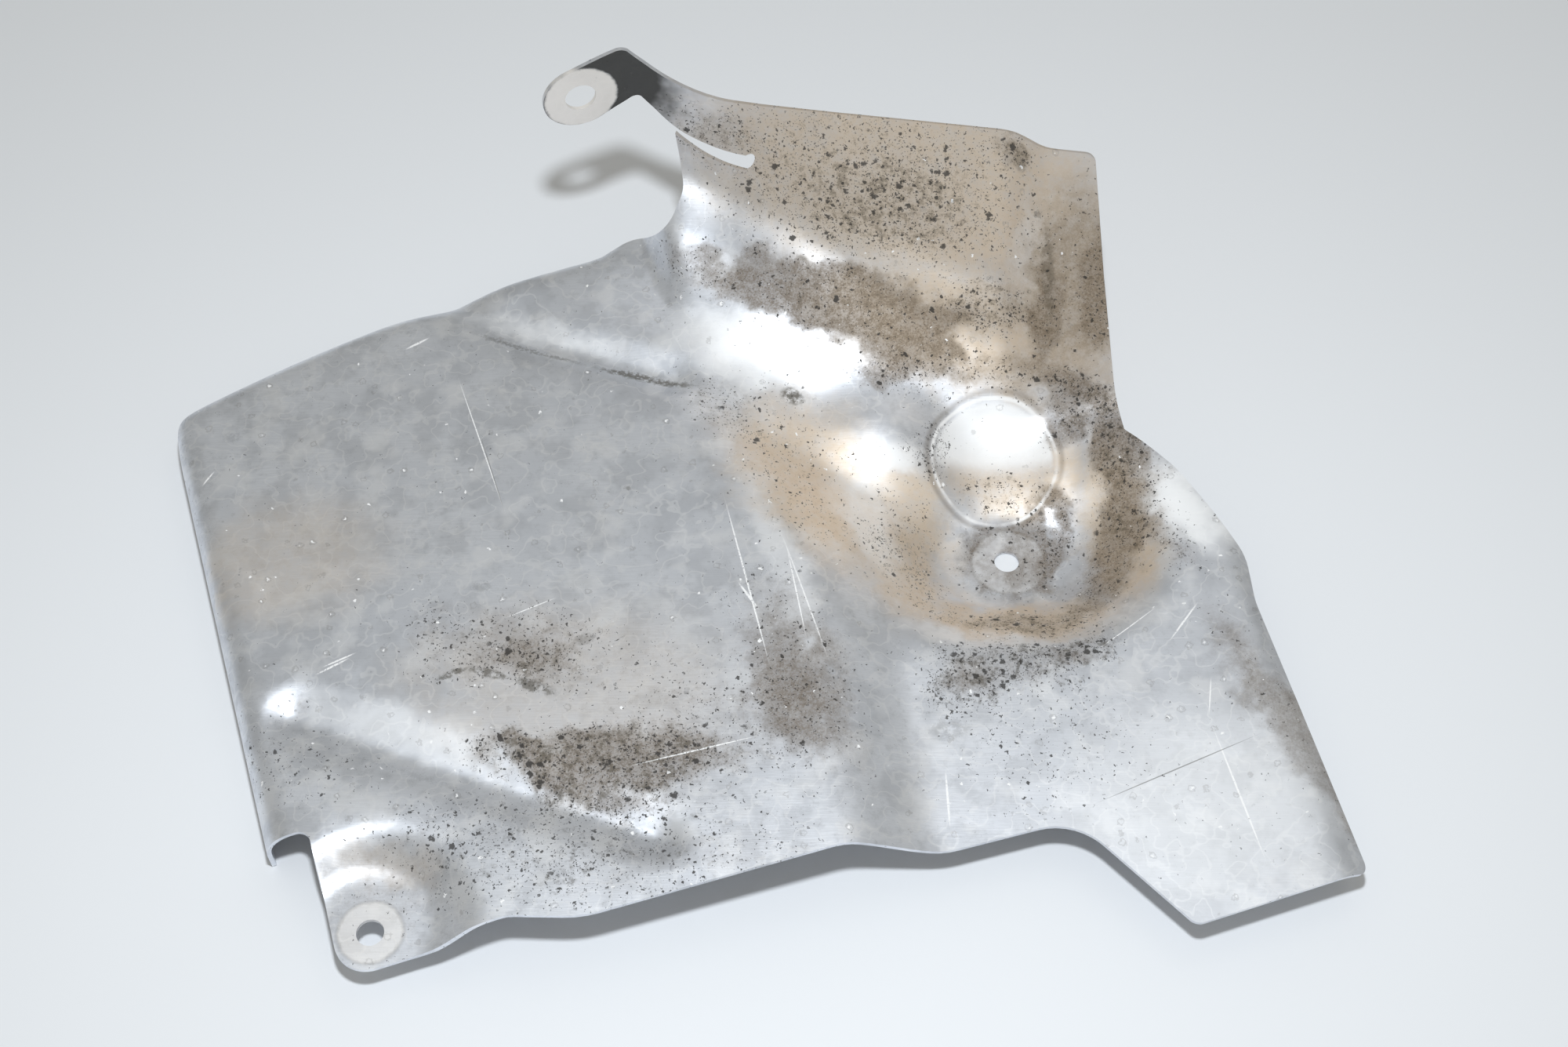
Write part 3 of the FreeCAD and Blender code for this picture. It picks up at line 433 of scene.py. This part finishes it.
# Start, end, half-width
SCRATCHES = (
    ((-174.0, 61.5, 19.5), (-166.4, 66.3, 19.8), 0.50),
    ((-158.4, 54.5, 20.0), (-138.7, -0.4, 20.0), 0.22),
    ((-187.6, -46.7, 17.5), (-178.1, -41.2, 18.0), 0.40),
    ((-186.0, -44.4, 17.7), (-176.4, -39.6, 18.1), 0.35),
    ((-105.2, -75.6, 20.3), (-67.1, -66.3, 21.9), 0.28),
    ((48.7, -57.9, 15.1), (59.6, -101.0, 13.6), 0.34),
    ((50.6, -45.0, 15.5), (48.7, -57.9, 15.1), 0.22),
    ((-226.9, 15.2, 15.8), (-223.4, 20.3, 17.0), 0.35),
    ((-80.4, 11.2, 22.0), (-66.1, -48.9, 22.1), 0.32),
    ((-65.2, 0.4, 21.6), (-50.6, -46.4, 21.8), 0.35),
    ((-63.0, -4.8, 21.6), (-56.8, -39.6, 22.5), 0.28),
    ((-75.7, -19.7, 22.2), (-69.3, -29.7, 22.3), 0.45),
    ((19.9, -38.4, 15.7), (39.1, -23.3, 16.0), 0.22),
    ((40.0, -35.6, 15.9), (49.8, -22.3, 16.4), 0.34),
    ((-138.7, -30.5, 19.6), (-123.3, -23.5, 20.3), 0.20),
    ((-21.2, -72.0, 14.7), (-20.6, -90.3, 14.0), 0.40),
)

# Start, end, half-width
DARK_SCRATCHES = (
    ((14.4, -83.7, 14.2), (64.3, -61.4, 15.0), 0.22),
    ((-150.0, 33.0, 20.0), (-139.0, 0.0, 20.0), 0.20),
    ((-2.0, -47.0, 15.3), (1.0, -38.0, 15.2), 0.5),
)


# Layers of the worn finish and its painted highlights and shade; f adds the nodes, p is the
# place in mm and n holds the noises

def noises_of(f, p):
    """Cloudy noises, and places that wander with them, so that no stain has a clean edge."""
    n = SimpleNamespace()
    n.slow = f.noise(p, 0.09, 3.0, out="Color")
    n.loose = f.wandering(p, n.slow, 15.0)
    n.crumbly = f.wandering(p, f.noise(p, 0.9, 3.0, out="Color"), 2.2)
    n.clouds = f.noise(p, 0.028, 3.0, 0.6)
    n.broken = f.noise(p, 0.33, 5.0, 0.72)
    n.grain = f.noise(p, 1.9, 3.0, 0.65)
    n.worm = f.noise(p, 0.16, 1.5, 0.5)
    brushed = f.node("ShaderNodeMapping", vector_type="POINT")
    f.feed(brushed.inputs["Vector"], p)
    brushed.inputs["Rotation"].default_value = (0.0, 0.0, math.radians(BRUSHED_AT))
    brushed.inputs["Scale"].default_value = BRUSH_GRAIN
    n.brush = f.noise(brushed.outputs[0], 1.0, 2.0, 0.7)
    return n


def washer_prints(f, p, n, used):
    """Clean rings round the bolt holes, and the dark line round each."""
    rings, edges = [], []
    for _, at, outer, amount in WASHER_PRINTS:
        away = f.vectors("DISTANCE", p, at, out="Value")
        away = f.maths("MULTIPLY_ADD", n.broken, 1.6, away)
        rings.append(f.ramp(away, outer + 1.3, outer + 0.40, 0.0, amount))
        edges.append(f.near(away, outer + 0.9, 0.9, 0.1))
    return f.times(f.most(rings), used), f.times(f.most(edges), used)


def dimple_light_and_shade(f, p, n, used):
    """A painted highlight ring on the dimple's rim, a painted highlight on the lit part of its
    floor and painted shade round it.
    """
    inside = f.node("ShaderNodeMapping", vector_type="TEXTURE")
    f.feed(inside.inputs["Vector"], p)
    inside.inputs["Location"].default_value = DIMPLE_MIDDLE
    inside.inputs["Scale"].default_value = DIMPLE_REACH
    off_rim = f.maths("SUBTRACT", f.vectors("LENGTH", inside.outputs[0], out="Value"), 1.0)
    # A thin painted highlight ring along the rim
    rim = f.times(f.near(off_rim, 0.0, 0.042, 0.008), used)
    rim = f.times(rim, f.ramp(f.part_of(n.slow, 1), 0.38, 0.58, 0.25, 1.0))
    across = f.node("ShaderNodeSeparateXYZ")
    f.feed(across.inputs[0], inside.outputs[0])
    # Painted highlight on the far part of the floor, which faces the lamp
    lit = f.times(f.ramp(off_rim, 0.0, -0.10), f.ramp(across.outputs[1], -0.30, 0.12))
    # Painted shade in a ring just outside the rim
    shade = f.near(off_rim, 0.085, 0.075, 0.0)
    return rim, lit, shade


def dirt_and_shade_amounts(f, loose):
    """Film (x) and soot (y) at each place, and the place moved by them; in the spots so marked
    the film is painted shade.

    Each dozen spots wanders with the dirt that lies there already, which also keeps the
    number of places that the renderer holds at once small.
    """
    dirt, place = (0.03, 0.05, 0.0), loose
    for count, (_, at, reach, turn, film, soot) in enumerate(WEAR_AND_SHADE, 1):
        here = f.spot(place, at, reach, turn, 0.30)
        dirt = f.vectors("ADD", dirt, f.scaled((film, soot, 0.0), here))
        if count % 12 == 0:
            place = f.vectors("ADD", loose, f.scaled(dirt, 0.5))
    return dirt, f.vectors("ADD", loose, f.scaled(dirt, 0.5))


def film_and_marks(f, n, dirt, bright, open_face):
    """The broken film, the dark smears and painted shade lines, blots and clumps, and how thick
    the soot is.
    """
    amounts = f.node("ShaderNodeSeparateXYZ")
    f.feed(amounts.inputs[0], dirt)
    film = f.times(amounts.outputs[0], open_face)
    soot = f.maths("MINIMUM", f.times(amounts.outputs[1], open_face), 1.2)
    uneven = f.maths("SUBTRACT", n.broken, 0.5)

    torn = f.maths("MULTIPLY_ADD", uneven, 1.7, f.times(film, 0.85))
    stain = f.times(f.ramp(film, 0.0, 1.55), f.ramp(torn, 0.0, 0.90, 0.45, 1.0))
    stain = f.times(stain, f.less(bright, 0.6))
    stain = f.times(stain, f.ramp(f.maths("ADD", n.grain, n.broken), 0.80, 1.20, 0.74, 1.0))

    # Smears, and painted shade lines along the grooves and the joggle
    smear_and_shade_line = f.most(f.times(f.line(n.crumbly, start, end, wide), amount)
                   for start, end, wide, amount in SMEARS_AND_SHADE_LINES)
    blot = f.layers(n.crumbly, BLOTS, 0.45)
    marks = f.times(f.maths("MAXIMUM", smear_and_shade_line, blot), f.ramp(n.broken, 0.36, 0.52))
    clump = f.maths("MULTIPLY_ADD", uneven, 2.6, f.times(soot, 0.40))
    marks = f.maths("MAXIMUM", marks, f.ramp(clump, 0.42, 0.90, 0.0, 0.70))
    return stain, f.times(marks, open_face), soot


def soot_specks(f, n, soot, largest):
    """Specks of three sizes; the big ones lie only where the soot is thick."""
    specks = []
    for wide, share, power in SPECK_SIZES:
        away, colour = f.cells(n.crumbly, MM / (largest * wide))
        chance = f.times(f.maths("POWER", soot, power), share)
        there = f.ramp(f.maths("SUBTRACT", chance, f.part_of(colour, 0)), 0.0, 0.05)
        size = f.maths("MULTIPLY_ADD", f.part_of(colour, 1), 0.36, 0.12)
        specks.append(f.times(there, f.ramp(f.maths("SUBTRACT", size, away), 0.0, 0.14)))
    return f.most(specks)


def burnt_lug(f, n, facing, unprinted):
    """The burnt black lug and fold, on the faces only."""
    front = f.vectors("DOT_PRODUCT", facing, LUG_FACING, out="Value")
    burnt = f.spot(n.loose, LUG_BURN_MIDDLE, LUG_BURN_REACH, 0, 0.62)
    return f.times(burnt, f.ramp(front, 0.35, 0.60), unprinted)


def scratches(f, p, n):
    """Bright scratches and dark ones."""
    bright = f.most(f.line(p, start, end, wide) for start, end, wide in SCRATCHES)
    dark = f.most(f.line(p, start, end, wide) for start, end, wide in DARK_SCRATCHES)
    return f.times(bright, f.ramp(n.grain, 0.30, 0.50)), dark


def small_dents(f, n):
    """Scattered dents: painted glints on those that would catch the lamp, and those with a dark
    edge.
    """
    away, colour = f.cells(n.crumbly, DENTS_IN_A_MM)
    size = f.times(f.part_of(colour, 1), 0.15)
    # Painted glint: a small white spot where a dent would catch the lamp
    glint = f.ramp(f.maths("SUBTRACT", size, away), 0.0, 0.05)
    glint = f.times(f.ramp(f.part_of(colour, 0), 0.42, 0.44), glint)
    edge = f.times(f.ramp(f.part_of(colour, 0), 0.80, 0.82), f.near(away, 0.22, 0.07, 0.02))
    return glint, edge


def worn_aluminium(look):
    """Satin aluminium with heat tint, brown film, soot specks, washer prints and scratches, and
    painted highlights and shade.
    """
    f = Finish("worn aluminium")
    p = f.scaled(f.node("ShaderNodeTexCoord").outputs["Object"], 1000.0)
    facing = f.node("ShaderNodeNewGeometry").outputs["Normal"]
    used = f.ramp(f.vectors("DOT_PRODUCT", facing, DIRTY_SIDE, out="Value"), -0.12, 0.10)
    n = noises_of(f, p)

    # What lies where
    printed, print_edge = washer_prints(f, p, n, used)
    unprinted = f.less(printed, 1.0)
    open_face = f.times(unprinted, used)
    # The dimple's painted highlights and painted shade
    rim, floor_lit, rim_shade = dimple_light_and_shade(f, p, n, used)
    dirt, settled = dirt_and_shade_amounts(f, n.loose)
    heat = f.times(f.layers(settled, HEAT, 0.40), f.ramp(n.broken, 0.30, 0.62, 0.70, 1.0))
    # Painted highlights where the sheet catches the lamp and on the lit part of the dimple's
    # floor, and one rubbed streak
    bright = f.maths("MAXIMUM", f.layers(settled, BRIGHT, 0.25), f.times(floor_lit, 0.95))
    bright = f.times(bright, open_face)
    stain, marks, soot = film_and_marks(f, n, dirt, bright, open_face)
    speck = soot_specks(f, n, soot, look.speck)
    burnt = burnt_lug(f, n, facing, unprinted)
    scratch, groove = scratches(f, p, n)
    glint, dent_edge = small_dents(f, n)
    glint = f.times(glint, open_face)
    tan = f.times(heat, unprinted, f.less(bright, 0.9))
    # White: bright scratches, the painted glints and the dimple's painted highlight ring
    white = f.most([scratch, glint, f.times(rim, 0.85)])
    dark = f.maths("MAXIMUM", f.times(marks, 0.85), f.times(groove, 0.6))

    # Colour of the metal, then of what lies on it, with the painted highlights and painted
    # shade
    colour = f.blend(f.ramp(n.clouds, 0.34, 0.68), look.bare, look.dull)
    colour = f.over(colour, look.dull, f.ramp(n.brush, 0.38, 0.66), 0.35)
    colour = f.over(colour, GREY_CLOUD, f.ramp(f.part_of(n.slow, 0), 0.46, 0.62), 0.40)
    colour = f.over(colour, GREY_SPECKLE, f.ramp(n.broken, 0.50, 0.66), 0.28)
    colour = f.over(colour, PALE, f.ramp(f.part_of(n.slow, 2), 0.50, 0.66), 0.40)
    colour = f.over(colour, PALE, f.near(n.worm, 0.50, 0.030, 0.006), 0.30)
    # The painted highlights, in a pale colour
    colour = f.over(colour, HIGHLIGHT_AND_RUB, bright, 0.90)
    colour = f.over(colour, look.tint, tan)
    colour = f.over(colour, WASHER_PRINT, printed, 0.80)
    colour = f.over(colour, WASHER_EDGE, print_edge, 0.25)
    colour = f.over(colour, DENT_EDGE, dent_edge, 0.30)
    # Brown film, which in the marked spots is painted shade
    colour = f.over(colour, look.film, stain, 0.86)
    # Painted shade round the dimple, in the film colour
    colour = f.over(colour, look.film, rim_shade, 0.35)
    # White of the scratches, the painted glints and the painted rim highlight
    colour = f.over(colour, WHITE, white)
    # Dark smears, blots, clumps and dark scratches, with the painted shade lines
    colour = f.over(colour, DIRT_AND_SHADE, dark)
    colour = f.over(colour, BURNT, burnt, 0.96)
    colour = f.over(colour, look.soot, speck, 0.90)

    # Bare metal shines; dirt is dull and rough
    cover = f.most([f.times(stain, 0.70), f.times(dark, 0.8), speck, f.times(burnt, 0.85)])
    shine = f.times(f.less(cover, 1.0), f.less(white, 0.8))
    # The painted highlights, like the washer prints, are made less metallic so that they read
    # pale
    shine = f.times(shine, f.less(f.maths("MAXIMUM", bright, printed), 0.55, 0.86))
    rough = f.maths("MULTIPLY_ADD", f.ramp(n.clouds, 0.30, 0.70), 0.08, look.rough)
    rough = f.maths("MULTIPLY_ADD", bright, 0.14, rough)
    rough = f.maths("MULTIPLY_ADD", tan, 0.10, rough)
    rough = f.mixed(printed, rough, 0.48)
    rough = f.mixed(cover, rough, 0.70)

    # Fine relief in mm: slow waves of thin sheet and brushing
    relief = f.times(f.noise(p, 0.05, 1.0), look.waves / MM)
    relief = f.maths("MULTIPLY_ADD", n.brush, 0.016, relief)
    bump = f.node("ShaderNodeBump")
    bump.inputs["Strength"].default_value = 1.0
    bump.inputs["Distance"].default_value = MM
    f.feed(bump.inputs["Height"], relief)

    shader = f.node("ShaderNodeBsdfPrincipled")
    f.feed(shader.inputs["Base Color"], colour)
    f.feed(shader.inputs["Metallic"], shine)
    f.feed(shader.inputs["Roughness"], rough)
    f.feed(shader.inputs["Normal"], bump.outputs[0])
    out = f.node("ShaderNodeOutputMaterial")
    f.feed(out.inputs["Surface"], shader.outputs[0])
    return f.material


def pale_floor(colour):
    """Smooth pale board with a faint unevenness."""
    f = Finish("pale floor")
    here = f.node("ShaderNodeTexCoord").outputs["Object"]
    cloud = f.noise(here, 1.5, 2.0)
    shader = f.node("ShaderNodeBsdfPrincipled")
    darker = tuple(c * 0.97 for c in colour[:3]) + (1.0,)
    f.feed(shader.inputs["Base Color"], f.blend(cloud, tuple(colour), darker))
    shader.inputs["Roughness"].default_value = 0.5
    out = f.node("ShaderNodeOutputMaterial")
    f.feed(out.inputs["Surface"], shader.outputs[0])
    return f.material


def flat_grid(half, count, height):
    """A square grid of count by count points at one height, and its faces."""
    s, t = np.meshgrid(np.linspace(-1, 1, count), np.linspace(-1, 1, count), indexing="ij")
    points = np.stack([half * s, half * t, np.full_like(s, height)], -1).reshape(-1, 3)
    i, j = np.meshgrid(np.arange(count - 1), np.arange(count - 1), indexing="ij")
    first = (i * count + j).reshape(-1)
    faces = np.stack([first, first + count, first + count + 1, first + 1], -1)
    return points, faces


def mesh_object(name, points, faces):
    """An object at the origin whose mesh holds the points and faces."""
    mesh = bpy.data.meshes.new(name)
    mesh.from_pydata(points.tolist(), [], faces.tolist())
    mesh.update()
    made = bpy.data.objects.new(name, mesh)
    bpy.context.scene.collection.objects.link(made)
    return made


def hang_lamp(name, at, turn, wide, power, colour=(1.0, 1.0, 1.0)):
    """A round area lamp."""
    lamp = bpy.data.lights.new(name, "AREA")
    lamp.shape = "DISK"
    lamp.size = wide
    lamp.energy = power
    lamp.color = colour
    hung = bpy.data.objects.new(name, lamp)
    hung.location = at
    hung.rotation_euler = turn
    bpy.context.scene.collection.objects.link(hung)


class HEATSHIELD_OT_sheet(Operator):
    """Gives the pressed sheet its worn aluminium finish."""
    bl_idname = "heat_shield.sheet"
    bl_label = "Finish the sheet"

    def execute(self, context):
        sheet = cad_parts["heat_shield"]
        finish = worn_aluminium(context.scene.heat_shield_sheet)
        sheet.data.materials.clear()
        sheet.data.materials.append(finish)
        return {"FINISHED"}


class HEATSHIELD_OT_stage(Operator):
    """Lays the floor, hangs two soft lamps, lights the room and sets up the camera."""
    bl_idname = "heat_shield.stage"
    bl_label = "Set the stage"

    def execute(self, context):
        look = context.scene.heat_shield_stage
        floor = mesh_object("floor", *flat_grid(FLOOR_HALF, FLOOR_POINTS, FLOOR_HIGH))
        floor.data.materials.append(pale_floor(look.floor))

        hang_lamp("soft_lamp", SOFT_LAMP_AT, (math.radians(SOFT_LAMP_TILT), 0, 0),
                  look.key_wide, look.key, SOFT_LAMP_COLOUR)
        aim = Vector(BROAD_LAMP_AIM) - Vector(BROAD_LAMP_AT)
        hang_lamp("broad_lamp", BROAD_LAMP_AT, aim.to_track_quat("-Z", "Y").to_euler(),
                  BROAD_LAMP_WIDE, look.side)

        room = bpy.data.worlds.new("room")
        room.use_nodes = True
        sky = room.node_tree.nodes["Background"]
        sky.inputs["Color"].default_value = ROOM_COLOUR
        sky.inputs["Strength"].default_value = look.sky
        context.scene.world = room
        context.scene.view_settings.view_transform = "Standard"

        eye = bpy.data.cameras.new("camera")
        eye.lens = look.lens
        eye.sensor_width = CAMERA_SENSOR
        eye.sensor_fit = "HORIZONTAL"
        seen = bpy.data.objects.new("camera", eye)
        seen.location = CAMERA_AT
        seen.rotation_euler = (math.radians(CAMERA_TILT), 0, 0)
        context.scene.collection.objects.link(seen)
        context.scene.camera = seen
        return {"FINISHED"}


class HEATSHIELD_PT_panel(Panel):
    """Lists the steps and their settings."""
    bl_idname = "HEATSHIELD_PT_panel"
    bl_label = "Heat shield"
    bl_space_type = "VIEW_3D"
    bl_region_type = "UI"
    bl_category = "Heat shield"

    def draw(self, context):
        for step in ("sheet", "stage"):
            settings = getattr(context.scene, "heat_shield_" + step)
            for key in settings.__annotations__:
                self.layout.prop(settings, key)
            self.layout.operator("heat_shield." + step)


CLASSES = (SheetSettings, StageSettings,
           HEATSHIELD_OT_sheet, HEATSHIELD_OT_stage, HEATSHIELD_PT_panel)


def register():
    """Adds the classes and the settings to Blender."""
    for each in CLASSES:
        bpy.utils.register_class(each)
    bpy.types.Scene.heat_shield_sheet = PointerProperty(type=SheetSettings)
    bpy.types.Scene.heat_shield_stage = PointerProperty(type=StageSettings)


def unregister():
    """Takes the settings and the classes out again."""
    del bpy.types.Scene.heat_shield_sheet
    del bpy.types.Scene.heat_shield_stage
    for each in reversed(CLASSES):
        bpy.utils.unregister_class(each)


def main():
    """Dresses the sheet, sets the stage and keeps the sizes of both boxes."""
    register()
    bpy.ops.heat_shield.sheet()
    bpy.ops.heat_shield.stage()


if __name__ == "__main__":
    main()
